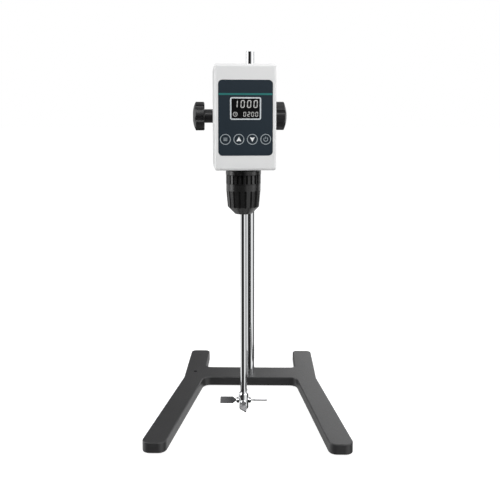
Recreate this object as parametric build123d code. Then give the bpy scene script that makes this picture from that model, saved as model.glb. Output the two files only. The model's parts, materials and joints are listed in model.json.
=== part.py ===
from build123d import *
import math
import os

# Overhead stirrer on its stand, in millimetres.
# The origin is the plan centre of the base plate, on the bench. +Z is up and -Y is the front.
# Pieces of the head are drawn in the head's own frame: its origin is on the column's axis at
# bench level, and its -Y looks out of the display. The head then swings round the column.

# Base plate
plate_depth = 296.0
plate_thickness = 12.0
leg_width = 28.5
rear_half_width = 94.0
splay_angle = 8.5
crossbar_front = 20.0
crossbar_rear = 17.5
column_setback = 87.0
front_corner = 9.5
rear_corner = 7.0
front_fillet = 11.0
rear_fillet = 7.0
knee_radius = 30.0
plate_edge = 1.2
rod_hole_radius = 2.5
rod_hole_offset = 80.0
foot_radius = 8.0
foot_height = 2.0
foot_plug_radius = 3.0
foot_plug_length = 5.0
foot_inset = 16.0

# Column
column_radius = 6.0
column_height = 460.0
column_seat = 4.0
column_chamfer = 0.8
bolt_radius = 3.0
bolt_grip = 14.0
bolt_head_radius = 5.2
bolt_head_height = 3.4

# Clearances
fit = 0.05
gap = 0.3

# Head placement
head_swing = 5.5
arm_height = 384.5
arm_offset = 19.0
shaft_reach = 135.0

# Clamp
bush_wall = 2.0
bush_flange = 2.5
bush_flange_thickness = 2.0
bush_slit = 2.0
barrel_wall = 5.5
barrel_length = 34.0
clamp_web = 24.0
boss_radius = 9.5
column_boss_reach = 16.5
arm_boss_reach = 16.0
knob_radius = 20.0
knob_lobes = 7
knob_scallop = 5.5
knob_scallop_depth = 2.6
knob_rim = 12.0
knob_dome = 4.0
knob_edge = 1.2
knob_hub_radius = 9.4
knob_hub_length = 17.5
stud_radius = 4.0
stud_in_knob = 20.0
column_knob_face = 50.4
arm_knob_face = 61.0

# Support arm
arm_radius = 6.0
arm_tail = 38.0
arm_chamfer = 1.0
flange_radius = 17.0
flange_thickness = 8.0
flange_screws = 3
flange_screw_circle = 12.0
flange_screw_radius = 2.0
flange_screw_head = 3.6
flange_screw_head_height = 2.0
flange_screw_sink = 2.5
socket_floor = 0.6
nut_width = 18.0
nut_thickness = 5.0

# Housing
housing_width = 70.4
housing_height = 121.0
housing_depth = 95.0
front_depth = 58.0
axis_behind_face = 37.0
arm_above_floor = 63.2
wall = 3.0
front_radius = 3.5
rear_radius = 5.0
side_radius = 2.5
inner_radius = 0.5
post_radius = 4.0
post_inset = 12.0
post_offset = 27.0
post_hole_radius = 1.25
case_screw_radius = 1.5
case_screw_length = 26.0
case_screw_head = 2.9
case_screw_head_height = 2.5
case_screw_depth = 23.0
slot_count = 4
slot_length = 36.0
slot_height = 2.4
slot_pitch = 5.0
slot_inset = 20.5
jack_radius = 5.5
jack_flange = 1.2
jack_flange_thickness = 1.5
jack_length = 14.0
jack_hole_radius = 3.2
jack_hole_depth = 10.0
jack_offset = 4.0
jack_height = 19.0

# Control panel
panel_width = 62.0
panel_height = 85.6
panel_corner = 4.9
panel_centre = 60.0
panel_thickness = 0.8
panel_recess = 0.9
panel_gap = 0.15
display_width = 32.0
display_height = 22.2
display_rise = 10.6
bezel_border = 1.65
bezel_corner = 1.4
bezel_thickness = 0.4
window_ledge = 1.2
key_count = 4
key_pitch = 15.34
key_drop = 24.2
key_radius = 6.05
key_gap = 0.3
key_travel = 0.5
stem_radius = 2.5
stem_length = 2.8
board_width = 54.0
board_gap = 3.0
board_thickness = 1.6
board_setback = 5.5
board_post_radius = 3.0
board_post_inset = 3.2
board_screw_radius = 1.25
board_screw_length = 6.0
board_screw_head = 2.4
board_screw_head_height = 1.6
switch_size = 6.0
switch_height = 3.2
plunger_radius = 1.7
module_border = 1.0

# Drive
gear_module = 0.8
gear_teeth = 45
pinion_teeth = 15
gear_width = 8.0
gear_backlash = 0.16
pressure_angle = 20.0
gear_hub_radius = 10.5
gear_web = 3.0
bearing_outer_radius = 16.0
bearing_inner_radius = 7.5
bearing_width = 9.0
bearing_race = 2.6
bearing_seal_gap = 0.3
bearing_spacing = 8.0
block_wall = 4.0
block_lip = 2.0
block_flange = 4.0
block_half_width = 24.0
block_front = 24.0
block_rear = 19.5
motor_post_radius = 3.0
motor_post_offset = 20.0
motor_post_inset = 4.5
post_stud_radius = 1.5
post_stud_length = 6.0
motor_plate_thickness = 4.0
plate_screw_length = 12.0
plate_screw_head = 2.6
plate_screw_head_height = 1.6
motor_screw_circle = 12.5
gear_clearance = 3.0
spindle_shoulder = 10.0
spindle_nose = 6.0
spindle_nose_length = 17.0
gear_seat = 7.0
ring_thickness = 1.0
ring_width = 1.8
ring_mouth = 6.0
motor_radius = 18.0
motor_headroom = 14.0
motor_wall = 1.5
motor_end = 2.0
motor_edge = 1.5
motor_air_gap = 1.0
core_inset = 8.0
motor_boss_radius = 5.0
motor_shaft_radius = 2.5
stator_thickness = 6.0
stator_slots = 9
stator_slot_radius = 2.0

# Chuck
chuck_gap = 1.6
collar_radius = 21.15
collar_height = 5.5
ring_radius = 20.8
ring_height = 11.2
ring_flutes = 24
ring_flute_radius = 1.1
band_height = 8.0
sleeve_radius = 20.6
sleeve_waist = 18.9
flute_height = 19.4
sleeve_flutes = 18
sleeve_flute_radius = 1.3
sleeve_flute_depth = 0.8
sleeve_wall = 2.3
cone_height = 8.8
nose_radius = 10.2
nose_hole_radius = 9.2
body_radius = 16.9
body_top_radius = 17.5
jaw_count = 3
jaw_radius = 2.8
jaw_length = 34.0
jaw_angle = 12.0
jaw_offset = 1.6
jaw_travel = 4.0
jaw_inset = 0.4
nut_groove_radius = 14.0
nut_groove_height = 6.6
nut_groove_start = 20.8

# Stirring shaft and propeller
shaft_radius = 4.0
shaft_length = 328.0
hub_radius = 6.35
hub_height = 20.7
hub_lift = 22.1
hub_chamfer = 1.5
shaft_in_hub = 18.8
blade_height = 32.7
blade_tip = 29.0
blade_root = 13.4
blade_chord = 9.0
blade_thickness = 1.0
blade_pitch = 31.0
blade_corner = 0.8
blades = 4
neck_chord = 3.0
neck_start = 10.2
neck_end = 8.0
neck_boss_radius = 3.4
neck_boss_reach = 9.3
grub_radius = 2.0
grub_length = 2.2
grub_drop = 5.5

# Worked out from the sizes above
plate_top = foot_height + plate_thickness
column_y = plate_depth / 2 - column_setback
front_reach = plate_depth - column_setback
front_half_width = rear_half_width + (front_reach - crossbar_front) * math.tan(math.radians(splay_angle))
column_top = plate_top + column_height

spindle_x = -arm_offset
spindle_y = -shaft_reach
face_y = spindle_y - axis_behind_face
rear_y = face_y + housing_depth
parting_y = face_y + front_depth
housing_bottom = arm_height - arm_above_floor
housing_top = housing_bottom + housing_height
floor_top = housing_bottom + wall
inner_face_y = face_y + wall

panel_z = housing_bottom + panel_centre
display_z = panel_z + display_rise
key_z = panel_z - key_drop
recess_y = face_y + panel_recess
overlay_y = recess_y - panel_thickness
board_y = inner_face_y + board_setback
board_height = housing_height - 2 * (post_inset + post_radius + board_gap)
board_z = housing_bottom + housing_height / 2

block_bottom = floor_top
lower_bearing_z = block_bottom + block_lip
upper_bearing_z = lower_bearing_z + bearing_width + bearing_spacing
block_top = upper_bearing_z + bearing_width
gear_z = block_top + 1.7
gear_distance = gear_module * (gear_teeth + pinion_teeth) / 2
motor_y = spindle_y + gear_distance
spindle_top = gear_z + gear_width + 4.0
spindle_bore = shaft_radius + gap
motor_plate_z = gear_z + gear_width + gear_clearance
motor_z = motor_plate_z + motor_plate_thickness
motor_length = housing_top - wall - motor_headroom - motor_z
stator_bore = motor_radius - motor_wall - fit - stator_thickness

collar_top = housing_bottom - chuck_gap
collar_bottom = collar_top - collar_height
ring_bottom = collar_bottom - ring_height
band_bottom = ring_bottom - band_height
flute_bottom = band_bottom - flute_height
chuck_bottom = flute_bottom - cone_height
chuck_top = collar_bottom + 2.8
jaw_tip_z = chuck_bottom + jaw_inset

hub_bottom = hub_lift
shaft_bottom = hub_bottom + hub_height - shaft_in_hub

bush_radius = column_radius + fit + bush_wall
barrel_bore = bush_radius + fit
barrel_radius = barrel_bore + barrel_wall

stand_place = Pos(0, column_y, 0)
head_place = Pos(0, column_y, 0) * Rot(0, 0, head_swing)


# Shapes used by many pieces

def rod_z(radius, low, high, x=0.0, y=0.0):
    return Pos(x, y, low) * Cylinder(radius, high - low, align=(Align.CENTER, Align.CENTER, Align.MIN))


def rod_y(radius, front, rear, x=0.0, z=0.0):
    turned = Rot(-90, 0, 0) * Cylinder(radius, rear - front, align=(Align.CENTER, Align.CENTER, Align.MIN))
    return Pos(x, front, z) * turned


def rod_x(radius, left, right, y=0.0, z=0.0):
    turned = Rot(0, 90, 0) * Cylinder(radius, right - left, align=(Align.CENTER, Align.CENTER, Align.MIN))
    return Pos(left, y, z) * turned


def block(x_span, y_span, z_span):
    size = [span[1] - span[0] for span in (x_span, y_span, z_span)]
    corner = Pos(x_span[0], y_span[0], z_span[0])
    return corner * Box(*size, align=(Align.MIN, Align.MIN, Align.MIN))


def turned_z(points, x=0.0, y=0.0):
    """A profile of (radius, height) points turned round the vertical through x, y."""
    face = make_face(Plane.XZ * Polyline(*points, close=True))
    return Pos(x, y, 0) * revolve(face, Axis.Z)


def front_prism(sketch, x, z, front, rear):
    """A sketch seen from the front, between two depths."""
    plane = Plane(origin=(x, rear, z), x_dir=(1, 0, 0), z_dir=(0, -1, 0))
    return extrude(plane * sketch, amount=rear - front)


def group(shapes):
    """Separate solids that share one node."""
    return Compound([solid for shape in shapes for solid in shape.solids()])


# Stand

def base_outline():
    inner_rear = rear_half_width - leg_width
    inner_front = front_half_width - leg_width
    right = [
        (inner_rear, crossbar_rear),
        (inner_rear, column_setback),
        (rear_half_width, column_setback),
        (rear_half_width, -crossbar_front),
        (front_half_width, -front_reach),
        (inner_front, -front_reach),
        (inner_rear, -crossbar_front),
    ]
    left = [(-x, y) for x, y in reversed(right)]
    face = make_face(Polyline(*right, *left, close=True))
    radii = (
        (inner_rear, crossbar_rear, rear_fillet),
        (inner_rear, column_setback, rear_corner),
        (rear_half_width, column_setback, rear_corner),
        (rear_half_width, -crossbar_front, knee_radius),
        (front_half_width, -front_reach, front_corner),
        (inner_front, -front_reach, front_corner),
        (inner_rear, -crossbar_front, front_fillet),
    )
    for x, y, radius in radii:
        corners = [vertex for vertex in face.vertices() if abs(abs(vertex.X) - x) + abs(vertex.Y - y) < 0.01]
        face = fillet(corners, radius)
    return face


def foot_places():
    rear_x = rear_half_width - leg_width / 2
    front_x = front_half_width - leg_width / 2 - foot_inset * math.tan(math.radians(splay_angle))
    for side in (-1, 1):
        yield side * rear_x, column_setback - foot_inset
        yield side * front_x, foot_inset - front_reach


def base_plate():
    plate = Pos(0, 0, foot_height) * extrude(base_outline(), amount=plate_thickness)
    plate = fillet(plate.faces().sort_by(Axis.Z)[-1].edges(), plate_edge)
    plate -= rod_z(column_radius + fit, plate_top - column_seat, plate_top + 1)
    plate -= rod_z(bolt_radius + fit, 0, plate_top)
    plate -= rod_z(bolt_head_radius + fit, 0, foot_height + bolt_head_height + fit)
    plate -= rod_z(rod_hole_radius, 0, plate_top + 1, x=-rod_hole_offset)
    for x, y in foot_places():
        plate -= rod_z(foot_plug_radius, foot_height, foot_height + foot_plug_length, x, y)
    return plate


def rubber_feet():
    feet = []
    for x, y in foot_places():
        pad = fillet(rod_z(foot_radius, 0, foot_height, x, y).edges().sort_by(Axis.Z)[0], 0.5)
        feet.append(pad + rod_z(foot_plug_radius, foot_height, foot_height + foot_plug_length - gap, x, y))
    return group(feet)


def column():
    rod = rod_z(column_radius, plate_top - column_seat, column_top)
    rod = chamfer(rod.edges().sort_by(Axis.Z)[-1], column_chamfer)
    return rod - rod_z(bolt_radius + fit, 0, plate_top - column_seat + bolt_grip + 1)


def column_bolt():
    head = rod_z(bolt_head_radius, foot_height + 0.1, foot_height + bolt_head_height)
    head -= Pos(0, 0, foot_height) * extrude(RegularPolygon(2.3, 6), amount=2.0)
    return head + rod_z(bolt_radius, foot_height + bolt_head_height, plate_top - column_seat + bolt_grip)


def stand_parts():
    return {
        "base_plate": base_plate(),
        "rubber_feet": rubber_feet(),
        "column": column(),
        "column_bolt": column_bolt(),
    }


# Boss-head clamp

def clamp_block():
    half = barrel_length / 2
    column_barrel = rod_z(barrel_radius, arm_height - half, arm_height + half)
    arm_barrel = rod_y(barrel_radius, -half, half, x=-arm_offset, z=arm_height)
    web_z = (arm_height - clamp_web / 2, arm_height + clamp_web / 2)
    web = block((-arm_offset, 0), (-clamp_web / 2, clamp_web / 2), web_z)
    right_boss = rod_x(boss_radius, 0, column_boss_reach, z=arm_height)
    left_boss = rod_x(boss_radius, -arm_offset - arm_boss_reach, -arm_offset, z=arm_height)
    body = column_barrel + arm_barrel + web + right_boss + left_boss
    body -= rod_z(barrel_bore, arm_height - half - 1, arm_height + half + 1)
    body -= rod_y(barrel_bore, -half - 1, half + 1, x=-arm_offset, z=arm_height)
    body -= rod_x(stud_radius + fit, 0, column_boss_reach + 1, z=arm_height)
    return body - rod_x(stud_radius + fit, -arm_offset - arm_boss_reach - 1, -arm_offset, z=arm_height)


def bush(rod_radius):
    """A slit bush about the Z axis, centred on the origin, with its flange below."""
    half = barrel_length / 2
    outer = rod_z(bush_radius, -half, half)
    outer += rod_z(bush_radius + bush_flange, -half - bush_flange_thickness, -half)
    outer -= rod_z(rod_radius + fit, -half - bush_flange_thickness - 1, half + 1)
    slit = Box(bush_slit, 3 * bush_radius, 2 * barrel_length, align=(Align.CENTER, Align.MIN, Align.CENTER))
    return outer - slit


def knob_outline():
    circle = Circle(knob_radius)
    centre = knob_radius + knob_scallop - knob_scallop_depth
    scallops = PolarLocations(centre, knob_lobes) * Circle(knob_scallop)
    return circle - scallops


def knob():
    """A star knob about the Z axis. Its domed face is up and its hub's end is at zero."""
    rim_z = knob_hub_length + knob_rim
    top = rim_z + knob_dome
    arc = ThreePointArc((knob_radius, rim_z), (knob_radius * 0.62, rim_z + knob_dome * 0.72), (0, top))
    sides = Polyline((0, top), (0, knob_hub_length), (knob_radius, knob_hub_length), (knob_radius, rim_z))
    domed = revolve(make_face(Plane.XZ * (arc + sides)), Axis.Z)
    star = Pos(0, 0, knob_hub_length) * extrude(knob_outline(), amount=knob_rim + knob_dome)
    head = domed & star
    head = chamfer(head.faces().sort_by(Axis.Z)[0].edges(), knob_edge)
    hub = rod_z(knob_hub_radius, 0, knob_hub_length)
    return head + hub - rod_z(stud_radius + fit, -1, stud_in_knob)


def clamp_parts():
    right = Pos(column_knob_face, 0, arm_height) * Rot(0, 90, 0)
    left = Pos(-arm_offset - arm_knob_face, 0, arm_height) * Rot(0, -90, 0)
    hub_end = knob_hub_length + knob_rim + knob_dome
    column_hub_x = column_knob_face - hub_end
    arm_hub_x = -arm_offset - arm_knob_face + hub_end
    column_tip = bush_radius + gap
    arm_tip = -arm_offset - bush_radius - gap
    arm_bush_place = Pos(-arm_offset, 0, arm_height) * Rot(-90, 0, 0)
    return {
        "clamp_block": clamp_block(),
        "column_bush": Pos(0, 0, arm_height) * bush(column_radius),
        "arm_bush": arm_bush_place * bush(arm_radius),
        "column_knob": right * Pos(0, 0, -hub_end) * knob(),
        "arm_knob": left * Pos(0, 0, -hub_end) * knob(),
        "column_stud": rod_x(stud_radius, column_tip, column_hub_x + stud_in_knob - gap, z=arm_height),
        "arm_stud": rod_x(stud_radius, arm_hub_x - stud_in_knob + gap, arm_tip, z=arm_height),
    }


# Support arm

def flange_screw_places():
    for number in range(flange_screws):
        angle = math.radians(90 + 360 * number / flange_screws)
        x = spindle_x + flange_screw_circle * math.cos(angle)
        yield x, arm_height + flange_screw_circle * math.sin(angle)


def support_arm():
    rod = rod_y(arm_radius, rear_y - wall - nut_thickness - 2, arm_tail, x=spindle_x, z=arm_height)
    return chamfer(rod.edges().sort_by(Axis.Y)[-1], arm_chamfer)


def arm_flange():
    outer = rear_y + flange_thickness
    disc = rod_y(flange_radius, rear_y, outer, x=spindle_x, z=arm_height)
    disc = chamfer(disc.edges().sort_by(Axis.Y)[-1], 1.0)
    disc -= rod_y(arm_radius + fit, rear_y - 1, outer + 1, x=spindle_x, z=arm_height)
    for x, z in flange_screw_places():
        disc -= rod_y(flange_screw_radius + fit, rear_y - 1, outer + 1, x, z)
        disc -= rod_y(flange_screw_head + fit, outer - flange_screw_sink, outer + 1, x, z)
    return disc


def arm_screws():
    screws = []
    for x, z in flange_screw_places():
        head_y = rear_y + flange_thickness - flange_screw_sink
        head = rod_y(flange_screw_head, head_y, head_y + flange_screw_head_height, x, z)
        socket = RegularPolygon(flange_screw_radius, 6)
        head -= front_prism(socket, x, z, head_y + socket_floor, head_y + flange_screw_head_height + 1)
        screws.append(head + rod_y(flange_screw_radius, rear_y - wall - 1, head_y, x, z))
    return group(screws)


def arm_nut():
    hexagon = RegularPolygon(nut_width / 2, 6, major_radius=False)
    front = rear_y - wall - nut_thickness
    nut = front_prism(hexagon, spindle_x, arm_height, front, rear_y - wall)
    return nut - rod_y(arm_radius + fit, front - 1, rear_y, x=spindle_x, z=arm_height)


# Housing

def housing_block(inset):
    """The housing's outer form, drawn in by an inset on every side."""
    front, rear = face_y + inset, rear_y - inset
    low, high = housing_bottom + inset, housing_top - inset
    side = make_face(Polyline((front, low), (rear, low), (rear, high), (front, high), close=True))
    side = fillet(side.vertices().sort_by(Axis.X)[-2:], max(rear_radius - inset, inner_radius))
    side = fillet(side.vertices().sort_by(Axis.X)[:2], max(front_radius - inset, inner_radius))
    half = housing_width / 2 - inset
    body = extrude(Plane.YZ * side, amount=half, both=True)
    ends = body.faces().sort_by(Axis.X)
    body = fillet(ends[0].edges() + ends[-1].edges(), max(side_radius - inset, inner_radius))
    return Pos(spindle_x, 0, 0) * body


def post_places():
    for side in (-1, 1):
        x = spindle_x + side * post_offset
        yield x, housing_bottom + post_inset
        yield x, housing_top - post_inset


def board_post_places():
    for side in (-1, 1):
        for end in (-1, 1):
            x = spindle_x + side * (board_width / 2 - board_post_inset)
            yield x, board_z + end * (board_height / 2 - board_post_inset)


def key_places():
    first = spindle_x - key_pitch * (key_count - 1) / 2
    return [first + key_pitch * number for number in range(key_count)]


def housing_shell():
    return housing_block(0) - housing_block(wall)


def front_shell():
    keep = block((-500, 500), (-500, parting_y), (0, 1000))
    shell = housing_shell() & keep
    recess = RectangleRounded(panel_width + 2 * panel_gap, panel_height + 2 * panel_gap, panel_corner)
    shell -= front_prism(recess, spindle_x, panel_z, face_y - 1, recess_y)
    opening = Rectangle(display_width - 2 * window_ledge, display_height - 2 * window_ledge)
    shell -= front_prism(opening, spindle_x, display_z, face_y - 1, inner_face_y + 1)
    for x in key_places():
        shell -= rod_y(key_radius + key_gap, recess_y - 1, recess_y + key_travel + 0.1, x, key_z)
        shell -= rod_y(stem_radius + key_gap, recess_y, inner_face_y + 1, x, key_z)
    for x, z in post_places():
        shell += rod_y(post_radius, inner_face_y, parting_y, x, z)
        shell -= rod_y(post_hole_radius, parting_y - 16, parting_y + 1, x, z)
    for x, z in board_post_places():
        shell += rod_y(board_post_radius, inner_face_y, board_y, x, z)
        shell -= rod_y(board_screw_radius + fit, board_y - board_screw_length + 1, board_y + 1, x, z)
    shell -= rod_z(spindle_shoulder + 1, housing_bottom - 1, floor_top + 1, spindle_x, spindle_y)
    stud_low = block_bottom + block_flange - post_stud_length
    for x, y in motor_post_places():
        shell -= rod_z(post_stud_radius + fit, stud_low, floor_top + 1, x, y)
    return shell


def rear_shell():
    keep = block((-500, 500), (parting_y, 500), (0, 1000))
    shell = housing_shell() & keep
    inner_rear = rear_y - wall
    for x, z in post_places():
        shell += rod_y(post_radius, parting_y, inner_rear, x, z)
        shell -= rod_y(case_screw_radius + 0.2, parting_y - 1, rear_y + 1, x, z)
        shell -= rod_y(case_screw_head + 0.2, rear_y - case_screw_depth, rear_y + 1, x, z)
    shell -= rod_y(arm_radius + fit, inner_rear - 1, rear_y + 1, spindle_x, arm_height)
    for x, z in flange_screw_places():
        shell -= rod_y(flange_screw_radius + fit, inner_rear - 1, rear_y + 1, x, z)
    for number in range(slot_count):
        z = housing_top - slot_inset - number * slot_pitch
        slot = SlotOverall(slot_length, slot_height)
        shell -= front_prism(slot, spindle_x, z, inner_rear - 1, rear_y + 1)
    jack_x, jack_z = spindle_x + jack_offset, housing_bottom + jack_height
    return shell - rod_y(jack_radius + fit, inner_rear - 1, rear_y + 1, jack_x, jack_z)


def case_screws():
    screws = []
    for x, z in post_places():
        seat = rear_y - case_screw_depth
        head = rod_y(case_screw_head, seat, seat + case_screw_head_height, x, z)
        shank = rod_y(post_hole_radius, seat - case_screw_length, seat, x, z)
        screws.append(head + shank)
    return group(screws)


def power_jack():
    x, z = spindle_x + jack_offset, housing_bottom + jack_height
    outer = rear_y + jack_flange_thickness
    body = rod_y(jack_radius, outer - jack_length, rear_y, x, z)
    body += rod_y(jack_radius + jack_flange, rear_y, outer, x, z)
    return body - rod_y(jack_hole_radius, outer - jack_hole_depth, outer + 1, x, z)


# Control panel

def panel_overlay():
    outline = RectangleRounded(panel_width, panel_height, panel_corner)
    sheet = front_prism(outline, spindle_x, panel_z, overlay_y, recess_y)
    cutout = Rectangle(display_width + 2 * panel_gap, display_height + 2 * panel_gap)
    sheet -= front_prism(cutout, spindle_x, display_z, overlay_y - 1, recess_y + 1)
    for x in key_places():
        sheet -= rod_y(key_radius + key_gap, overlay_y - 1, recess_y + 1, x, key_z)
    return sheet


def display_bezel():
    outer_size = (display_width + 2 * bezel_border, display_height + 2 * bezel_border)
    outer = RectangleRounded(*outer_size, bezel_corner + bezel_border / 2)
    inner = RectangleRounded(display_width + 2 * panel_gap, display_height + 2 * panel_gap, bezel_corner / 2)
    return front_prism(outer - inner, spindle_x, display_z, overlay_y - bezel_thickness, overlay_y)


def display_window():
    return front_prism(Rectangle(display_width, display_height), spindle_x, display_z, overlay_y, recess_y)


def display_module():
    size = (display_width + 2 * module_border, display_height + 2 * module_border)
    case = front_prism(Rectangle(*size), spindle_x, display_z, inner_face_y, board_y)
    glass = Rectangle(display_width - 4 * window_ledge, display_height - 4 * window_ledge)
    return case + front_prism(glass, spindle_x, display_z, recess_y + gap, inner_face_y)


def key_cap(x):
    cap = rod_y(key_radius, overlay_y, recess_y, x, key_z)
    return cap + rod_y(stem_radius, recess_y, recess_y + stem_length, x, key_z)


def control_board():
    back = board_y + board_thickness
    board = front_prism(Rectangle(board_width, board_height), spindle_x, board_z, board_y, back)
    for x, z in board_post_places():
        board -= rod_y(board_screw_radius + fit, board_y - 1, back + 1, x, z)
    return board


def board_screws():
    screws = []
    for x, z in board_post_places():
        back = board_y + board_thickness
        head = rod_y(board_screw_head, back, back + board_screw_head_height, x, z)
        screws.append(head + rod_y(board_screw_radius, back - board_screw_length, back, x, z))
    return group(screws)


def tact_switches():
    stem_end = recess_y + stem_length
    plunger_y = stem_end + key_travel + 0.1
    switches = []
    for x in key_places():
        case = front_prism(Rectangle(switch_size, switch_size), x, key_z, board_y - switch_height, board_y)
        switches.append(case + rod_y(plunger_radius, plunger_y, board_y - switch_height, x, key_z))
    return group(switches)


def panel_parts():
    names = ("key_mode", "key_up", "key_down", "key_run")
    parts = {
        "panel_overlay": panel_overlay(),
        "display_bezel": display_bezel(),
        "display_window": display_window(),
        "display_module": display_module(),
        "control_board": control_board(),
        "board_screws": board_screws(),
        "tact_switches": tact_switches(),
    }
    for name, x in zip(names, key_places()):
        parts[name] = key_cap(x)
    return parts


# Drive

def involute(angle):
    return math.tan(angle) - angle


def gear_outline(teeth, turn):
    """An involute gear of straight-chorded flanks. One tooth points along turn, in degrees."""
    pitch_radius = gear_module * teeth / 2
    base_radius = pitch_radius * math.cos(math.radians(pressure_angle))
    root_radius = pitch_radius - 1.25 * gear_module
    tip_radius = pitch_radius + gear_module
    start_radius = max(base_radius, root_radius)
    half_at_pitch = math.pi / (2 * teeth) - gear_backlash / (4 * pitch_radius)
    flank = []
    for step in range(4):
        radius = start_radius + (tip_radius - start_radius) * step / 3
        lean = involute(math.radians(pressure_angle)) - involute(math.acos(base_radius / radius))
        flank.append((radius, half_at_pitch + lean))
    if root_radius < start_radius:
        flank.insert(0, (root_radius, flank[0][1]))
    points = []
    for tooth in range(teeth):
        centre = math.radians(turn) + 2 * math.pi * tooth / teeth
        for radius, half in flank:
            points.append((radius * math.cos(centre - half), radius * math.sin(centre - half)))
        for radius, half in reversed(flank):
            points.append((radius * math.cos(centre + half), radius * math.sin(centre + half)))
    return make_face(Polyline(*points, close=True))


def spindle_gear():
    x, y = spindle_x, spindle_y
    gear = Pos(x, y, gear_z) * extrude(gear_outline(gear_teeth, 90), amount=gear_width)
    rim = gear_module * gear_teeth / 2 - 4 * gear_module
    pocket_depth = (gear_width - gear_web) / 2
    gear_top = gear_z + gear_width
    for low, high in ((gear_z, gear_z + pocket_depth), (gear_top - pocket_depth, gear_top)):
        gear -= rod_z(rim, low, high, x, y) - rod_z(gear_hub_radius, low, high, x, y)
    return gear - rod_z(gear_seat + fit, gear_z - 1, gear_top + 1, x, y)


def motor_pinion():
    half_pitch = 180 / pinion_teeth
    pinion = extrude(gear_outline(pinion_teeth, 270 + half_pitch), amount=gear_width)
    pinion = Pos(spindle_x, motor_y, gear_z) * pinion
    return pinion - rod_z(motor_shaft_radius + fit, gear_z - 1, gear_z + gear_width + 1, spindle_x, motor_y)


def bearing_outer(z):
    low, high = z, z + bearing_width
    ring = rod_z(bearing_outer_radius, low, high, spindle_x, spindle_y)
    inner = bearing_inner_radius + bearing_race + bearing_seal_gap
    ring -= rod_z(inner, low - 1, high + 1, spindle_x, spindle_y)
    groove = rod_z(bearing_outer_radius - bearing_race, low + 1, high - 1, spindle_x, spindle_y)
    return ring - groove


def bearing_inner(z):
    ring = rod_z(bearing_inner_radius + bearing_race, z, z + bearing_width, spindle_x, spindle_y)
    return ring - rod_z(bearing_inner_radius + fit / 2, z - 1, z + bearing_width + 1, spindle_x, spindle_y)


def motor_post_places():
    for side in (-1, 1):
        for y in (spindle_y - block_front + motor_post_inset, spindle_y + block_rear - motor_post_inset):
            yield spindle_x + side * motor_post_offset, y


def motor_screw_places():
    for side in (-1, 1):
        yield spindle_x + side * motor_screw_circle, motor_y


def bearing_block():
    y_span = (spindle_y - block_front, spindle_y + block_rear)
    x_span = (spindle_x - block_half_width, spindle_x + block_half_width)
    flange = block(x_span, y_span, (block_bottom, block_bottom + block_flange))
    flange = fillet(flange.edges().filter_by(Axis.Z), 3.0)
    body = flange + rod_z(bearing_outer_radius + block_wall, block_bottom, block_top, spindle_x, spindle_y)
    body -= rod_z(bearing_outer_radius - 3, block_bottom - 1, block_top + 1, spindle_x, spindle_y)
    seat = bearing_outer_radius + fit / 2
    body -= rod_z(seat, lower_bearing_z, lower_bearing_z + bearing_width, spindle_x, spindle_y)
    body -= rod_z(seat, upper_bearing_z, block_top + 1, spindle_x, spindle_y)
    for x, y in motor_post_places():
        body -= rod_z(post_stud_radius + fit, block_bottom - 1, block_bottom + block_flange + 1, x, y)
    return body


def motor_plate():
    y_span = (spindle_y - block_front, motor_y + motor_radius + 2)
    x_span = (spindle_x - block_half_width, spindle_x + block_half_width)
    plate = block(x_span, y_span, (motor_plate_z, motor_plate_z + motor_plate_thickness))
    plate = fillet(plate.edges().filter_by(Axis.Z), 3.0)
    plate -= rod_z(spindle_shoulder, motor_plate_z - 1, motor_z + 1, spindle_x, spindle_y)
    for x, y in (*motor_post_places(), *motor_screw_places()):
        plate -= rod_z(post_stud_radius + fit, motor_plate_z - 1, motor_z + 1, x, y)
    return plate - rod_z(motor_boss_radius + fit, motor_plate_z - 1, motor_z + 1, spindle_x, motor_y)


def motor_posts():
    """Standoffs that screw down through the bearing block into the housing's floor."""
    low, high = block_bottom + block_flange, motor_plate_z
    posts = []
    for x, y in motor_post_places():
        post = rod_z(motor_post_radius, low, high, x, y)
        post += rod_z(post_stud_radius, low - post_stud_length + gap, low, x, y)
        posts.append(post - rod_z(post_stud_radius + fit, motor_z - plate_screw_length - 1, high + 1, x, y))
    return group(posts)


def plate_screws():
    """Screws that hold the motor plate on its posts, and the motor on the plate."""
    screws = []
    for x, y in motor_post_places():
        head = rod_z(plate_screw_head, motor_z, motor_z + plate_screw_head_height, x, y)
        screws.append(head + rod_z(post_stud_radius, motor_z - plate_screw_length, motor_z, x, y))
    for x, y in motor_screw_places():
        head = rod_z(plate_screw_head, motor_plate_z - plate_screw_head_height, motor_plate_z, x, y)
        screws.append(head + rod_z(post_stud_radius, motor_plate_z, motor_z + motor_wall, x, y))
    return group(screws)


def motor_can():
    top = motor_z + motor_length
    can = rod_z(motor_radius, motor_z, top, spindle_x, motor_y)
    can = chamfer(can.edges().sort_by(Axis.Z)[-1], motor_edge)
    can += rod_z(motor_boss_radius, motor_plate_z + 1, motor_z, spindle_x, motor_y)
    inner = motor_radius - motor_wall
    can -= rod_z(inner, motor_z + motor_end, top - motor_end, spindle_x, motor_y)
    for x, y in motor_screw_places():
        can -= rod_z(post_stud_radius + fit, motor_z - 1, motor_z + motor_end, x, y)
    return can - rod_z(motor_shaft_radius + fit, motor_plate_z - 1, top + 1, spindle_x, motor_y)


def motor_stator():
    low, high = motor_z + core_inset, motor_z + motor_length - core_inset
    outer = motor_radius - motor_wall - fit
    ring = rod_z(outer, low, high, spindle_x, motor_y)
    ring -= rod_z(stator_bore, low, high, spindle_x, motor_y)
    for number in range(stator_slots):
        angle = math.radians(360 * number / stator_slots)
        x = spindle_x + stator_bore * math.cos(angle)
        y = motor_y + stator_bore * math.sin(angle)
        ring -= rod_z(stator_slot_radius, low - 1, high + 1, x, y)
    return ring


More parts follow.
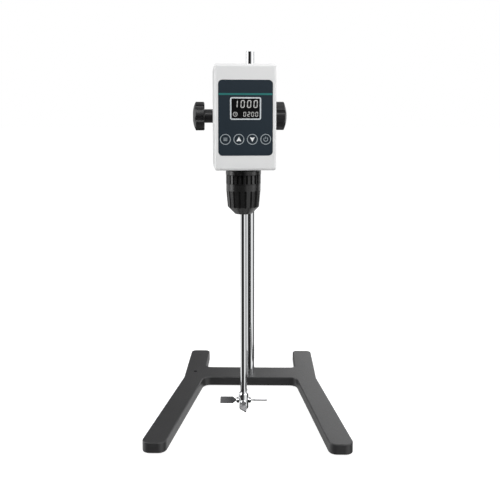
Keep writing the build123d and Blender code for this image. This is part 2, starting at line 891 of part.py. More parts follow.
def motor_rotor():
    low, high = motor_z + core_inset, motor_z + motor_length - core_inset
    magnet = rod_z(stator_bore - motor_air_gap, low, high, spindle_x, motor_y)
    return magnet + rod_z(motor_shaft_radius, gear_z, motor_z + motor_length + 1, spindle_x, motor_y)


def spindle():
    x, y = spindle_x, spindle_y
    shaft = rod_z(spindle_nose, chuck_top - spindle_nose_length, chuck_top, x, y)
    shaft += rod_z(spindle_shoulder, chuck_top, lower_bearing_z, x, y)
    shaft += rod_z(bearing_inner_radius, lower_bearing_z, gear_z, x, y)
    shaft += rod_z(gear_seat, gear_z, spindle_top, x, y)
    ring_z = gear_z + gear_width + fit
    groove = rod_z(gear_seat + 1, ring_z, ring_z + ring_thickness + fit, x, y)
    groove -= rod_z(gear_seat - ring_width / 2, ring_z - 1, ring_z + ring_thickness + 1, x, y)
    return shaft - groove - rod_z(spindle_bore, 0, spindle_top + 1, x, y)


def retaining_ring():
    z = gear_z + gear_width + fit
    inner = gear_seat - ring_width / 2 + fit
    outer = gear_seat + ring_width
    ring = rod_z(outer, z, z + ring_thickness, spindle_x, spindle_y)
    ring -= rod_z(inner, z - 1, z + ring_thickness + 1, spindle_x, spindle_y)
    half = ring_mouth / 2
    mouth = block((spindle_x - half, spindle_x + half), (spindle_y, spindle_y + 2 * outer), (z - 1, z + 2))
    return ring - mouth


def drive_parts():
    return {
        "bearing_block": bearing_block(),
        "lower_bearing": bearing_outer(lower_bearing_z),
        "lower_bearing_race": bearing_inner(lower_bearing_z),
        "upper_bearing": bearing_outer(upper_bearing_z),
        "upper_bearing_race": bearing_inner(upper_bearing_z),
        "spindle": spindle(),
        "spindle_gear": spindle_gear(),
        "retaining_ring": retaining_ring(),
        "motor_plate": motor_plate(),
        "motor_posts": motor_posts(),
        "plate_screws": plate_screws(),
        "motor_can": motor_can(),
        "motor_stator": motor_stator(),
        "motor_rotor": motor_rotor(),
        "motor_pinion": motor_pinion(),
    }


# Chuck

def chuck_collar():
    x, y = spindle_x, spindle_y
    skirt_bore = body_top_radius + fit
    collar = rod_z(collar_radius, collar_bottom, collar_top, x, y)
    collar = fillet(collar.edges().sort_by(Axis.Z)[-1], 0.8)
    collar -= rod_z(skirt_bore, collar_bottom - 1, chuck_top, x, y)
    return collar - rod_z(spindle_shoulder + fit, chuck_top - 1, collar_top + 1, x, y)


def chuck_ring():
    x, y = spindle_x, spindle_y
    ring = rod_z(ring_radius, ring_bottom + gap, collar_bottom, x, y)
    for number in range(ring_flutes):
        angle = math.radians(360 * (number + 0.5) / ring_flutes)
        radius = ring_radius + 0.2
        place = (x + radius * math.cos(angle), y + radius * math.sin(angle))
        ring -= rod_z(ring_flute_radius, ring_bottom + 0.8, collar_bottom + 1, *place)
    return ring - rod_z(body_top_radius + fit, ring_bottom - 1, collar_bottom + 1, x, y)


def sleeve_flute():
    """One flute's cutter, laid along the sleeve's taper on the +X side."""
    taper = math.degrees(math.atan2(sleeve_radius - sleeve_waist, flute_height))
    length = flute_height + 6
    cutter = Cylinder(sleeve_flute_radius, length, align=(Align.CENTER, Align.CENTER, Align.MAX))
    radius = sleeve_radius + sleeve_flute_radius - sleeve_flute_depth
    return Pos(radius, 0, band_bottom) * Rot(0, taper, 0) * cutter


def chuck_sleeve():
    inner = sleeve_radius - sleeve_wall
    waist_inner = sleeve_waist - sleeve_wall + 0.4
    outer_points = [
        (0, chuck_bottom),
        (nose_radius, chuck_bottom),
        (sleeve_waist, flute_bottom),
        (sleeve_radius, band_bottom),
        (sleeve_radius, ring_bottom),
        (0, ring_bottom),
    ]
    inner_points = [
        (0, chuck_bottom - 1),
        (nose_hole_radius, chuck_bottom - 1),
        (nose_hole_radius, chuck_bottom + 1.7),
        (waist_inner, flute_bottom + 1.2),
        (waist_inner, band_bottom - 9),
        (inner, band_bottom - 9),
        (inner, ring_bottom + 1),
        (0, ring_bottom + 1),
    ]
    sleeve = turned_z(outer_points)
    for number in range(sleeve_flutes):
        sleeve -= Rot(0, 0, 360 * (number + 0.65) / sleeve_flutes) * sleeve_flute()
    sleeve -= turned_z(inner_points)
    return Pos(spindle_x, spindle_y, 0) * sleeve


def jaw_frame(angle):
    """The place of a jaw's tip, with +Z along the jaw's axis, leaning outwards from the tip."""
    radius = shaft_radius + fit + jaw_offset
    return Pos(spindle_x, spindle_y, 0) * Rot(0, 0, angle) * Pos(radius, 0, jaw_tip_z) * Rot(0, jaw_angle, 0)


def jaw_angles():
    return [90 + 360 * number / jaw_count for number in range(jaw_count)]


def chuck_body():
    groove_low = chuck_bottom + nut_groove_start
    groove_high = groove_low + nut_groove_height
    points = [
        (0, chuck_bottom + 2.4),
        (8.6, chuck_bottom + 2.4),
        (body_radius - 0.8, flute_bottom + 1.6),
        (body_radius - 0.8, band_bottom - 10),
        (body_radius, band_bottom - 9),
        (body_radius, groove_low),
        (nut_groove_radius, groove_low),
        (nut_groove_radius, groove_high),
        (body_radius, groove_high),
        (body_radius, ring_bottom + gap),
        (body_top_radius, ring_bottom + gap),
        (body_top_radius, chuck_top),
        (0, chuck_top),
    ]
    body = turned_z(points, spindle_x, spindle_y)
    body -= rod_z(shaft_radius + gap, chuck_bottom, chuck_top, spindle_x, spindle_y)
    nose_bottom = chuck_top - spindle_nose_length
    body -= rod_z(spindle_nose + fit, nose_bottom - gap, chuck_top + 1, spindle_x, spindle_y)
    depth = jaw_length + jaw_travel + 1
    for angle in jaw_angles():
        bore = Cylinder(jaw_radius + fit, depth + 6, align=(Align.CENTER, Align.CENTER, Align.MIN))
        body -= jaw_frame(angle) * Pos(0, 0, -6) * bore
    return body


def chuck_jaw(angle):
    rod = Cylinder(jaw_radius, jaw_length, align=(Align.CENTER, Align.CENTER, Align.MIN))
    jaw = jaw_frame(angle) * rod
    reach = 2 * body_radius
    keep = block((shaft_radius + fit, reach), (-reach, reach), (jaw_tip_z, chuck_top))
    return jaw & (Pos(spindle_x, spindle_y, 0) * Rot(0, 0, angle) * keep)


def chuck_nut():
    low = chuck_bottom + nut_groove_start + gap
    high = low + nut_groove_height - 2 * gap
    outer = sleeve_radius - sleeve_wall - fit
    ring = rod_z(outer, low, high, spindle_x, spindle_y)
    return ring - rod_z(nut_groove_radius + gap, low - 1, high + 1, spindle_x, spindle_y)


def chuck_parts():
    parts = {
        "chuck_collar": chuck_collar(),
        "chuck_ring": chuck_ring(),
        "chuck_sleeve": chuck_sleeve(),
        "chuck_body": chuck_body(),
        "chuck_nut": chuck_nut(),
    }
    for number, angle in enumerate(jaw_angles(), start=1):
        parts[f"chuck_jaw_{number}"] = chuck_jaw(angle)
    return parts


# Stirring shaft and propeller

def stirring_shaft():
    rod = rod_z(shaft_radius, shaft_bottom, shaft_bottom + shaft_length, spindle_x, spindle_y)
    return chamfer(rod.edges().sort_by(Axis.Z)[-1], 0.6)


def blade(number):
    """A flat blade on its narrow neck, pitched about its own radius."""
    outline = make_face(Polyline(
        (neck_end, -neck_chord / 2),
        (neck_start, -neck_chord / 2),
        (blade_root, -blade_chord / 2),
        (blade_tip, -blade_chord / 2),
        (blade_tip, blade_chord / 2),
        (blade_root, blade_chord / 2),
        (neck_start, neck_chord / 2),
        (neck_end, neck_chord / 2),
        close=True,
    ))
    outline = fillet(outline.vertices().group_by(Axis.X)[-1], blade_corner)
    sheet = Pos(0, 0, -blade_thickness / 2) * extrude(outline, amount=blade_thickness)
    turn = 360 * number / blades - head_swing
    return Pos(spindle_x, spindle_y, blade_height) * Rot(0, 0, turn) * Rot(-blade_pitch, 0, 0) * sheet


def propeller_hub():
    top = hub_bottom + hub_height
    hub = turned_z([
        (0, hub_bottom),
        (hub_radius - hub_chamfer, hub_bottom),
        (hub_radius, hub_bottom + hub_chamfer),
        (hub_radius, top - hub_chamfer),
        (hub_radius - hub_chamfer, top),
        (0, top),
    ])
    for number in range(blades):
        boss = rod_x(neck_boss_radius, 0, neck_boss_reach, z=blade_height)
        hub += Rot(0, 0, 360 * number / blades - head_swing) * chamfer(boss.edges().sort_by(Axis.X)[-1], 0.8)
    hub -= rod_z(shaft_radius + fit, shaft_bottom, top + 1)
    hub -= Rot(0, 0, 45 - head_swing) * rod_x(grub_radius + fit, 0, 2 * hub_radius, z=top - grub_drop)
    hub = Pos(spindle_x, spindle_y, 0) * hub
    for number in range(blades):
        hub -= blade(number)
    return hub


def hub_grub_screw():
    z = hub_bottom + hub_height - grub_drop
    screw = rod_x(grub_radius, shaft_radius + fit, shaft_radius + grub_length, z=z)
    return Pos(spindle_x, spindle_y, 0) * Rot(0, 0, 45 - head_swing) * screw


def stirrer_parts():
    return {
        "stirring_shaft": stirring_shaft(),
        "propeller_hub": propeller_hub(),
        "propeller_blades": group([blade(number) for number in range(blades)]),
        "hub_grub_screw": hub_grub_screw(),
    }


def head_parts():
    parts = {
        "support_arm": support_arm(),
        "arm_flange": arm_flange(),
        "arm_screws": arm_screws(),
        "arm_nut": arm_nut(),
        "front_shell": front_shell(),
        "rear_shell": rear_shell(),
        "case_screws": case_screws(),
        "power_jack": power_jack(),
    }
    for more in (clamp_parts(), panel_parts(), drive_parts(), chuck_parts(), stirrer_parts()):
        parts.update(more)
    return parts


def save(name, shape, place):
    solids = [place * solid for solid in shape.solids()]
    export_step(solids[0] if len(solids) == 1 else Compound(solids), f"parts/{name}.step")


def main():
    os.makedirs("parts", exist_ok=True)
    for name, shape in stand_parts().items():
        save(name, shape, stand_place)
    for name, shape in head_parts().items():
        save(name, shape, head_place)


main()
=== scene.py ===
import json
import math

import bmesh
import bpy
from mathutils import Matrix, Vector


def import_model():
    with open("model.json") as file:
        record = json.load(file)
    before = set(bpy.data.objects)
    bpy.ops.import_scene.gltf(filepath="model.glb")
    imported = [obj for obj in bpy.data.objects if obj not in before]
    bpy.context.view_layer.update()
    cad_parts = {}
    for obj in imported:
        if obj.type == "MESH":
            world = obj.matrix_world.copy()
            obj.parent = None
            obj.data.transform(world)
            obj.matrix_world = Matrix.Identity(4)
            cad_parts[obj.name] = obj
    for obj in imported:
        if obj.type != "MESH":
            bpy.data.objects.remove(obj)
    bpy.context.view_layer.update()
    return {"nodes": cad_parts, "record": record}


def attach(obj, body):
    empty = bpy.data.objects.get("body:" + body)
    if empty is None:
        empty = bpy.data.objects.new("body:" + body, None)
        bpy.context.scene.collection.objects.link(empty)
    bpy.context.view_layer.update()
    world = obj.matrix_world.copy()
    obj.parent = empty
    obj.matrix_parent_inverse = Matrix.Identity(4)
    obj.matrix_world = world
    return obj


# Sizes in metres, in the frame of the CAD. The head frame has its origin on the
# column's axis at bench level, and its -Y looks out of the display.
HEAD_SWING = math.radians(5.5)
COLUMN_Y = 0.061
HEAD = Matrix.Translation((0, COLUMN_Y, 0)) @ Matrix.Rotation(HEAD_SWING, 4, "Z")

# The panel in the head frame: its middle, the front of its overlay, and its four keys.
AXIS_X = -0.019
FACE_Y = -0.1719
KEY_Z = 0.3571
KEY_PITCH = 0.01534
KEY_BODIES = ("mode_key", "up_key", "down_key", "run_key")

# Printing and lit figures are thin plates that stand just proud of what carries them.
PRINT_THICKNESS = 0.00006
PRINT_LIFT = 0.00005
FIGURE_LIFT = 0.00007


# Shader nodes

def new_material(name):
    material = bpy.data.materials.new(name)
    material.use_nodes = True
    nodes = material.node_tree.nodes
    shader = nodes["Principled BSDF"]
    return material, nodes, material.node_tree.links, shader


def map_range(nodes, links, value, source, target=(0.0, 1.0)):
    """Maps value from the range source to the range target."""
    node = nodes.new("ShaderNodeMapRange")
    node.inputs["From Min"].default_value, node.inputs["From Max"].default_value = source
    node.inputs["To Min"].default_value, node.inputs["To Max"].default_value = target
    links.new(value, node.inputs["Value"])
    return node.outputs["Result"]


def calculate(nodes, links, operation, first, second):
    """A Math node. first and second are sockets or plain numbers."""
    node = nodes.new("ShaderNodeMath")
    node.operation = operation
    for socket, value in zip(node.inputs, (first, second)):
        if isinstance(value, float):
            socket.default_value = value
        else:
            links.new(value, socket)
    return node.outputs[0]


def object_coords(nodes, links, scale=(1, 1, 1)):
    coords = nodes.new("ShaderNodeTexCoord")
    mapping = nodes.new("ShaderNodeMapping")
    mapping.inputs["Scale"].default_value = scale
    links.new(coords.outputs["Object"], mapping.inputs["Vector"])
    return mapping.outputs["Vector"]


def noise(nodes, links, vector, scale, detail=2.0):
    texture = nodes.new("ShaderNodeTexNoise")
    texture.inputs["Scale"].default_value = scale
    texture.inputs["Detail"].default_value = detail
    links.new(vector, texture.inputs["Vector"])
    return texture.outputs["Fac"]


# Noise stays mostly within this range, so colours and roughness are spread over it.
NOISE_RANGE = (0.3, 0.7)


def noise_colours(nodes, links, factor, low, high):
    """The colour low where the noise is low, and high where it is high."""
    node = nodes.new("ShaderNodeValToRGB")
    stops = zip(node.color_ramp.elements, NOISE_RANGE, (low, high))
    for element, position, colour in stops:
        element.position = position
        element.color = colour
    links.new(factor, node.inputs["Fac"])
    return node.outputs["Color"]


def tint(colour, factor):
    return (*[min(1.0, channel * factor) for channel in colour], 1.0)


def groove_shade_factor(nodes, links, reach):
    """A factor for painted shade in grooves, from ambient occlusion: 0 at the bottom of a
    groove, and 1 on open ground; walls within reach count.
    """
    groove_bottom, open_ground = 0.80, 0.98
    hollow = nodes.new("ShaderNodeAmbientOcclusion")
    hollow.inputs["Distance"].default_value = reach
    return map_range(nodes, links, hollow.outputs["AO"], (groove_bottom, open_ground))


# Materials

MOTTLE_SCALE = 22.0
RELIEF_DEPTH = 0.0002
# How dark the painted shade at the bottom of a groove is, as a share of the colour.
GROOVE_PAINTED_SHADE = 0.2


def surface(name, colour, rough, metallic=0.0, *, grain, bump=0.0, variation=0.06,
            stretch=(1, 1, 1), rough_spread=0.06, specular=0.5, groove_shade_reach=0.0):
    """A material with its colour, roughness and relief varied by noise of a real scale.

    grain is the number of grains in a metre, and stretch draws them out along an axis.
    Given a reach, shade is painted into grooves: ambient occlusion from walls within that
    reach darkens the colour and lowers the specular level towards a groove's bottom."""
    material, nodes, links, shader = new_material(name)
    shader.inputs["Metallic"].default_value = metallic
    shader.inputs["Specular IOR Level"].default_value = specular
    broad = noise(nodes, links, object_coords(nodes, links), MOTTLE_SCALE, 3.0)
    base = noise_colours(nodes, links, broad, tint(colour, 1 - variation),
                         tint(colour, 1 + variation))
    # Painted shade in grooves: ambient occlusion darkens the colour towards a groove's bottom
    # and lowers the specular level there.
    if groove_shade_reach:
        open_sky = groove_shade_factor(nodes, links, groove_shade_reach)
        shine = calculate(nodes, links, "MULTIPLY", open_sky, specular)
        links.new(shine, shader.inputs["Specular IOR Level"])
        painted_shade = nodes.new("ShaderNodeMixRGB")
        painted_shade.inputs["Color1"].default_value = tint(colour, GROOVE_PAINTED_SHADE)
        links.new(open_sky, painted_shade.inputs["Fac"])
        links.new(base, painted_shade.inputs["Color2"])
        base = painted_shade.outputs["Color"]
    links.new(base, shader.inputs["Base Color"])
    fine = noise(nodes, links, object_coords(nodes, links, stretch), grain)
    roughness = map_range(nodes, links, fine, NOISE_RANGE,
                          (rough - rough_spread, rough + rough_spread))
    links.new(roughness, shader.inputs["Roughness"])
    if bump:
        relief = nodes.new("ShaderNodeBump")
        relief.inputs["Strength"].default_value = bump
        relief.inputs["Distance"].default_value = RELIEF_DEPTH
        links.new(fine, relief.inputs["Height"])
        links.new(relief.outputs["Normal"], shader.inputs["Normal"])
    return material


def glow(name, colour, strength, grain=900.0, variation=0.06):
    """A lit material, a little uneven as a display's segments are."""
    material, nodes, links, shader = new_material(name)
    fine = noise(nodes, links, object_coords(nodes, links), grain)
    output = noise_colours(nodes, links, fine, tint(colour, 1 - variation), tint(colour, 1.0))
    links.new(output, shader.inputs["Base Color"])
    links.new(output, shader.inputs["Emission Color"])
    shader.inputs["Emission Strength"].default_value = strength
    shader.inputs["Roughness"].default_value = 0.4
    return material


SLOTS = {
    "powder_grey": surface("powder_grey", (0.027, 0.027, 0.028), 0.40, grain=1100,
                           bump=0.35, variation=0.05),
    "foot_rubber": surface("foot_rubber", (0.012, 0.012, 0.012), 0.75, grain=1500, bump=0.3),
    "polished_steel": surface("polished_steel", (0.80, 0.81, 0.82), 0.06, 1.0, grain=500,
                              variation=0.02, stretch=(3, 3, 0.05), rough_spread=0.02),
    "dark_steel": surface("dark_steel", (0.09, 0.09, 0.095), 0.35, 1.0, grain=900, bump=0.1),
    "bush_plastic": surface("bush_plastic", (0.02, 0.02, 0.02), 0.5, grain=1800, bump=0.15),
    "clamp_black": surface("clamp_black", (0.018, 0.018, 0.02), 0.4, grain=700, bump=0.35),
    "knob_plastic": surface("knob_plastic", (0.010, 0.010, 0.011), 0.36, grain=1600,
                            bump=0.12, specular=0.35),
    "zinc_steel": surface("zinc_steel", (0.55, 0.55, 0.54), 0.28, 1.0, grain=900, bump=0.05),
    "satin_aluminium": surface("satin_aluminium", (0.62, 0.63, 0.64), 0.32, 1.0, grain=700,
                               bump=0.05, stretch=(1, 1, 12)),
    "shell_white": surface("shell_white", (0.76, 0.765, 0.765), 0.40, grain=2400,
                           bump=0.06, variation=0.012),
    "jack_black": surface("jack_black", (0.015, 0.015, 0.015), 0.4, grain=1500, bump=0.1),
    "panel_film": surface("panel_film", (0.013, 0.023, 0.033), 0.40, grain=2600,
                          bump=0.08, variation=0.05, specular=0.3),
    "bezel_grey": surface("bezel_grey", (0.60, 0.64, 0.66), 0.35, grain=2200, bump=0.05),
    "display_glass": surface("display_glass", (0.006, 0.006, 0.006), 0.16, grain=500,
                             rough_spread=0.03, specular=0.3),
    "module_black": surface("module_black", (0.015, 0.015, 0.016), 0.45, grain=1200,
                            bump=0.1),
    "board_green": surface("board_green", (0.01, 0.10, 0.05), 0.35, grain=900, bump=0.1),
    "key_film": surface("key_film", (0.011, 0.019, 0.027), 0.36, grain=2600, bump=0.08,
                        specular=0.3),
    "bearing_steel": surface("bearing_steel", (0.5, 0.5, 0.51), 0.25, 1.0, grain=900),
    "gear_plastic": surface("gear_plastic", (0.72, 0.70, 0.62), 0.4, grain=1500, bump=0.05),
    # The chuck's black has painted shade in the bottoms of its grooves.
    "chuck_black": surface("chuck_black", (0.012, 0.012, 0.012), 0.27, grain=1700,
                           bump=0.12, specular=0.42, groove_shade_reach=0.0025),
    "blade_steel": surface("blade_steel", (0.13, 0.13, 0.135), 0.18, 1.0, grain=900,
                           bump=0.03, stretch=(1, 8, 1)),
}
TEAL = surface("print_teal", (0.016, 0.16, 0.15), 0.35, grain=2600, bump=0.05)
PALE = surface("print_pale", (0.42, 0.47, 0.50), 0.4, grain=2600, bump=0.05)
WHITE = surface("print_white", (0.80, 0.82, 0.83), 0.4, grain=2600, bump=0.05)
DIGIT = glow("digit_white", (0.34, 0.34, 0.33), 0.6)


# Shapes

def piece(name, mesh, body, material):
    """Makes an object from a bmesh drawn in the head's frame."""
    bmesh.ops.transform(mesh, matrix=HEAD, verts=mesh.verts)
    data = bpy.data.meshes.new(name)
    mesh.to_mesh(data)
    mesh.free()
    data.materials.append(material)
    item = bpy.data.objects.new(name, data)
    bpy.context.scene.collection.objects.link(item)
    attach(item, body)


def plate(mesh, outline, front):
    """Adds a thin plate: an outline of (x, z) points, seen from the front, with its
    face at front."""
    rings = []
    for depth in (front, front + PRINT_THICKNESS):
        rings.append([mesh.verts.new((x, depth, z)) for x, z in outline])
    mesh.faces.new(rings[0])
    mesh.faces.new(list(reversed(rings[1])))
    count = len(outline)
    for number in range(count):
        after = (number + 1) % count
        mesh.faces.new((rings[0][after], rings[0][number], rings[1][number], rings[1][after]))


def rectangle(mesh, left, low, right, high, front):
    """Adds a thin upright rectangle."""
    plate(mesh, [(left, low), (right, low), (right, high), (left, high)], front)


def ring(mesh, x, z, outer, inner, front, start=0.0, sweep=360.0, steps=64):
    """Adds a thin ring, or a part of one that starts at start and runs over sweep."""
    closed = sweep >= 360.0
    count = steps if closed else steps + 1
    back = front + PRINT_THICKNESS
    corners = [(outer, front), (inner, front), (inner, back), (outer, back)]
    loops = []
    for number in range(count):
        angle = math.radians(start + sweep * number / steps)
        across, up = math.cos(angle), math.sin(angle)
        loops.append([mesh.verts.new((x + r * across, y, z + r * up)) for r, y in corners])
    for number in range(count if closed else count - 1):
        here, after = loops[number], loops[(number + 1) % count]
        for side in range(4):
            other = (side + 1) % 4
            mesh.faces.new((here[side], after[side], after[other], here[other]))
    if not closed:
        mesh.faces.new(loops[0])
        mesh.faces.new(list(reversed(loops[-1])))


# Display figures. The segments run a to f clockwise from the top, and g is the middle.

SEGMENTS = {
    "0": "abcdef",
    "1": "bc",
    "2": "abged",
}
STROKE_SHARE = 0.22
SEGMENT_GAP_SHARE = 0.08
SLANT = 0.06


def figure(mesh, character, x, z, width, height, front):
    """Adds one seven-segment figure. x, z is its lower left corner."""
    stroke = width * STROKE_SHARE
    half_stroke = stroke / 2
    gap = stroke * SEGMENT_GAP_SHARE
    left, right = half_stroke, width - half_stroke
    low, middle, high = half_stroke, height / 2, height - half_stroke

    def flat(points):
        plate(mesh, [(x + px + SLANT * pz, z + pz) for px, pz in points], front)

    def bar(low_x, high_x, centre_z):
        flat([(low_x, centre_z),
              (low_x + half_stroke, centre_z - half_stroke),
              (high_x - half_stroke, centre_z - half_stroke),
              (high_x, centre_z),
              (high_x - half_stroke, centre_z + half_stroke),
              (low_x + half_stroke, centre_z + half_stroke)])

    def post(centre_x, low_z, high_z):
        flat([(centre_x, low_z),
              (centre_x + half_stroke, low_z + half_stroke),
              (centre_x + half_stroke, high_z - half_stroke),
              (centre_x, high_z),
              (centre_x - half_stroke, high_z - half_stroke),
              (centre_x - half_stroke, low_z + half_stroke)])

    shapes = {
        "a": lambda: bar(left + gap, right - gap, high),
        "b": lambda: post(right, middle + gap, high - gap),
        "c": lambda: post(right, low + gap, middle - gap),
        "d": lambda: bar(left + gap, right - gap, low),
        "e": lambda: post(left, low + gap, middle - gap),
        "f": lambda: post(left, middle + gap, high - gap),
        "g": lambda: bar(left + gap, right - gap, middle),
    }
    for segment in SEGMENTS[character]:
        shapes[segment]()


def display_figures():
    mesh = bmesh.new()
    front = FACE_Y - FIGURE_LIFT

    large_width, large_height, large_pitch, large_z = 0.0047, 0.0087, 0.00735, 0.39265
    figure(mesh, "1", AXIS_X - 0.0139, large_z, large_width, large_height, front)
    for number, character in enumerate("000"):
        x = AXIS_X - 0.0059 + number * large_pitch
        figure(mesh, character, x, large_z, large_width, large_height, front)

    small_width, small_height, small_pitch, small_z = 0.0031, 0.0054, 0.00453, 0.38275
    for number, character in enumerate("0200"):
        x = AXIS_X - 0.0027 + number * small_pitch
        figure(mesh, character, x, small_z, small_width, small_height, front)

    clock_x, clock_z = AXIS_X - 0.0118, 0.38545
    clock_outer, clock_inner = 0.0026, 0.0020
    long_hand, short_hand, half_hand = 0.0016, 0.0012, 0.00022
    ring(mesh, clock_x, clock_z, clock_outer, clock_inner, front)
    rectangle(mesh, clock_x - half_hand, clock_z, clock_x + half_hand, clock_z + long_hand,
              front)
    rectangle(mesh, clock_x, clock_z - half_hand, clock_x + short_hand, clock_z + half_hand,
              front)
    piece("display_figures", mesh, "head", DIGIT)


# Printing on the panel and the keys

def panel_print():
    half_width = 0.0306
    low, high = 0.40705, 0.40922
    mesh = bmesh.new()
    rectangle(mesh, AXIS_X - half_width, low, AXIS_X + half_width, high, FACE_Y - PRINT_LIFT)
    piece("panel_stripe", mesh, "head", TEAL)


def key_x(number):
    """The middle of a key, counted from 0 on the left."""
    return AXIS_X + KEY_PITCH * (number - 1.5)


def key_rings(front):
    outer, inner = 0.0060, 0.0053
    for number, body in enumerate(KEY_BODIES):
        mesh = bmesh.new()
        ring(mesh, key_x(number), KEY_Z, outer, inner, front)
        piece(f"{body}_ring", mesh, body, PALE)


def key_surrounds():
    """Closes the gaps round the keys, behind the face of the panel."""
    outer, inner, depth = 0.0066, 0.00612, 0.00077
    mesh = bmesh.new()
    for number in range(len(KEY_BODIES)):
        ring(mesh, key_x(number), KEY_Z, outer, inner, FACE_Y + depth)
    piece("key_surrounds", mesh, "head", SLOTS["panel_film"])


def key_arrows(front):
    points = [(0, 0.0029), (0.0027, -0.0020), (0.0023, -0.0024), (0, -0.0017),
              (-0.0023, -0.0024), (-0.0027, -0.0020)]
    for number, turn in ((1, 1), (2, -1)):
        outline = [(key_x(number) + px, KEY_Z + turn * pz) for px, pz in points]
        mesh = bmesh.new()
        plate(mesh, outline if turn > 0 else list(reversed(outline)), front)
        piece(f"{KEY_BODIES[number]}_arrow", mesh, KEY_BODIES[number], WHITE)


def mode_sign(front):
    """Three bars, a general sign for a list."""
    half_length, half_thickness, pitch = 0.0022, 0.0003, 0.0014
    x = key_x(0)
    mesh = bmesh.new()
    for row in (-1, 0, 1):
        z = KEY_Z + row * pitch
        rectangle(mesh, x - half_length, z - half_thickness, x + half_length,
                  z + half_thickness, front)
    piece("mode_key_sign", mesh, "mode_key", PALE)


def run_sign(front):
    """An open ring with a stroke, the general sign for on and off."""
    outer, inner, half_stroke = 0.0026, 0.0020, 0.0003
    stroke_low, stroke_high = 0.0004, 0.0030
    x = key_x(3)
    mesh = bmesh.new()
    ring(mesh, x, KEY_Z, outer, inner, front, start=130, sweep=280, steps=40)
    rectangle(mesh, x - half_stroke, KEY_Z + stroke_low, x + half_stroke,
              KEY_Z + stroke_high, front)
    piece("run_key_sign", mesh, "run_key", PALE)


def key_print():
    front = FACE_Y - PRINT_LIFT
    key_rings(front)
    key_surrounds()
    key_arrows(front)
    mode_sign(front)
    run_sign(front)


def dress_nodes(frame):
    slots = {item["node"]: item["material_slot"] for item in frame["record"]["subparts"]}
    for name, item in frame["nodes"].items():
        item.data.materials.clear()
        item.data.materials.append(SLOTS[slots[name]])


# Camera, floor and light

def camera():
    distance, pitch_down, yaw = 0.9017, 5.5, 0.0171
    data = bpy.data.cameras.new("camera")
    data.lens = 46.08
    data.sensor_width = 36.0
    data.shift_y = -0.1368
    data.clip_start = 0.01
    item = bpy.data.objects.new("camera", data)
    item.location = (0.0150, COLUMN_Y - distance, 0.3790)
    item.rotation_euler = (math.radians(90 - pitch_down), 0, yaw)
    bpy.context.scene.collection.objects.link(item)
    bpy.context.scene.camera = item


FLOOR_HALF_SIZE = 30.0
FLOOR_GLOW = 0.78


def floor():
    """A pale floor that glows white for the camera. Mirrors see the world in its place."""
    mesh = bmesh.new()
    bmesh.ops.create_grid(mesh, x_segments=1, y_segments=1, size=FLOOR_HALF_SIZE)
    data = bpy.data.meshes.new("floor")
    mesh.to_mesh(data)
    mesh.free()
    item = bpy.data.objects.new("floor", data)
    bpy.context.scene.collection.objects.link(item)
    material, nodes, links, shader = new_material("floor_white")
    shader.inputs["Base Color"].default_value = (0.55, 0.55, 0.55, 1)
    shader.inputs["Roughness"].default_value = 0.9
    shader.inputs["Specular IOR Level"].default_value = 0.0
    shader.inputs["Emission Color"].default_value = (1, 1, 1, 1)
    path = nodes.new("ShaderNodeLightPath")
    seen = calculate(nodes, links, "MAXIMUM", path.outputs["Is Camera Ray"],
                     path.outputs["Is Glossy Ray"])
    lift = calculate(nodes, links, "MULTIPLY", seen, FLOOR_GLOW)
    links.new(lift, shader.inputs["Emission Strength"])
    data.materials.append(material)
    item.visible_glossy = False


# Grey levels that mirrors see, by azimuth in degrees: 0 is the front, and 90 is +X.
# The front holds two dark bands, one from the left across the middle and one at the
# right. Looking down, the back is grey, and looking up it is darker on the left.
FRONT_LEVELS = [(-145, 1.0), (-95, 1.0), (-69, 0.55), (-64, 0.02), (16, 0.02), (21, 0.95),
                (74, 1.0), (79, 0.05), (123, 0.05), (129, 1.0)]
LOW_LEVELS = [(-180, 0.25), (-150, 0.25), *FRONT_LEVELS, (160, 1.0), (166, 0.25), (180, 0.25)]
HIGH_LEVELS = [(-180, 0.45), (-176, 0.1), (-150, 0.1), *FRONT_LEVELS, (176, 1.05),
               (180, 0.45)]
# The low levels give way to the high ones over this range of a direction's Z.
LEVELS_CHANGE = (0.03, 0.12)
# The strength of the light on matt surfaces grows over this range of a direction's Z.
SKY_RANGE, SKY_STRENGTH = (-0.4, 1.0), (0.32, 0.62)


def curtain(nodes, links, turn, levels):
    """A ramp of grey levels by azimuth, where turn is 0 at -180 degrees and 1 at 180."""
    node = nodes.new("ShaderNodeValToRGB")
    elements = node.color_ramp.elements
    for element, (_, level) in zip(elements, (levels[0], levels[-1])):
        element.color = (level, level, level, 1)
    for degrees, level in levels[1:-1]:
        elements.new((degrees + 180) / 360).color = (level, level, level, 1)
    links.new(turn, node.inputs["Fac"])
    return node.outputs["Color"]


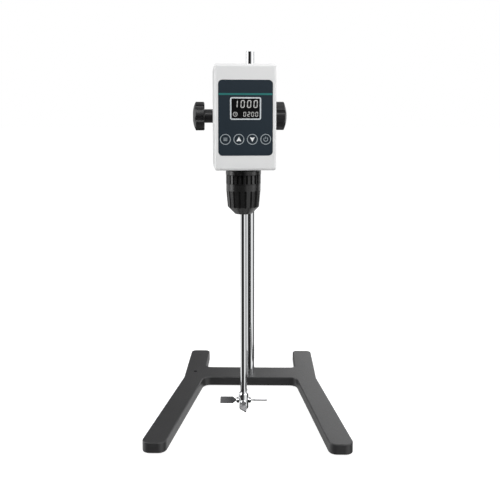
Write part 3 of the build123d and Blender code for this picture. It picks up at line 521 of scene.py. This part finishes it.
def world():
    """A white room for the camera, a soft sky for matt surfaces, and a studio with dark
    bands for mirrors, as the photograph's rods show."""
    scene_world = bpy.data.worlds.new("studio")
    bpy.context.scene.world = scene_world
    scene_world.use_nodes = True
    nodes, links = scene_world.node_tree.nodes, scene_world.node_tree.links
    nodes.clear()
    output = nodes.new("ShaderNodeOutputWorld")
    coords = nodes.new("ShaderNodeTexCoord")
    split = nodes.new("ShaderNodeSeparateXYZ")
    links.new(coords.outputs["Generated"], split.inputs[0])

    forward = calculate(nodes, links, "MULTIPLY", split.outputs["Y"], -1.0)
    azimuth = calculate(nodes, links, "ARCTAN2", split.outputs["X"], forward)
    turn = map_range(nodes, links, azimuth, (-math.pi, math.pi))
    mirror = nodes.new("ShaderNodeMixRGB")
    links.new(map_range(nodes, links, split.outputs["Z"], LEVELS_CHANGE), mirror.inputs["Fac"])
    links.new(curtain(nodes, links, turn, LOW_LEVELS), mirror.inputs["Color1"])
    links.new(curtain(nodes, links, turn, HIGH_LEVELS), mirror.inputs["Color2"])

    path = nodes.new("ShaderNodeLightPath")
    diffuse = nodes.new("ShaderNodeBackground")
    links.new(map_range(nodes, links, split.outputs["Z"], SKY_RANGE, SKY_STRENGTH),
              diffuse.inputs["Strength"])
    glossy = nodes.new("ShaderNodeBackground")
    links.new(mirror.outputs["Color"], glossy.inputs["Color"])
    white = nodes.new("ShaderNodeBackground")
    white.inputs["Color"].default_value = (1, 1, 1, 1)
    lit = nodes.new("ShaderNodeMixShader")
    links.new(path.outputs["Is Glossy Ray"], lit.inputs["Fac"])
    links.new(diffuse.outputs[0], lit.inputs[1])
    links.new(glossy.outputs[0], lit.inputs[2])
    direct = calculate(nodes, links, "MAXIMUM", path.outputs["Is Camera Ray"],
                       path.outputs["Is Transmission Ray"])
    room = nodes.new("ShaderNodeMixShader")
    links.new(direct, room.inputs["Fac"])
    links.new(lit.outputs[0], room.inputs[1])
    links.new(white.outputs[0], room.inputs[2])
    links.new(room.outputs[0], output.inputs["Surface"])


def lamp(name, place, target, size, power):
    """A rectangular lamp at place that shines on target, unseen by the camera."""
    data = bpy.data.lights.new(name, "AREA")
    data.shape = "RECTANGLE"
    data.size, data.size_y = size
    data.energy = power
    item = bpy.data.objects.new(name, data)
    item.location = place
    direction = Vector(target) - Vector(place)
    item.rotation_euler = direction.to_track_quat("-Z", "Y").to_euler()
    item.visible_camera = False
    bpy.context.scene.collection.objects.link(item)


def lights():
    lamp("top", (0.2, -0.1, 1.5), (0, 0, 0.2), (1.2, 1.2), 2.0)
    lamp("right", (1.1, -0.3, 0.7), (0, 0, 0.2), (0.6, 1.2), 6.0)
    lamp("rear", (0.75, 2.3, 1.0), (0, 0, 0.1), (1.3, 1.0), 3.0)
    lamp("left", (-1.2, -0.2, 0.7), (0, 0, 0.3), (0.5, 1.2), 8.5)
    lamp("front", (0.2, -1.9, 1.9), (0, 0, 0.3), (1.6, 1.0), 26.0)


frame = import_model()
bpy.context.scene.view_settings.view_transform = "Standard"
dress_nodes(frame)
display_figures()
panel_print()
key_print()
camera()
floor()
world()
lights()
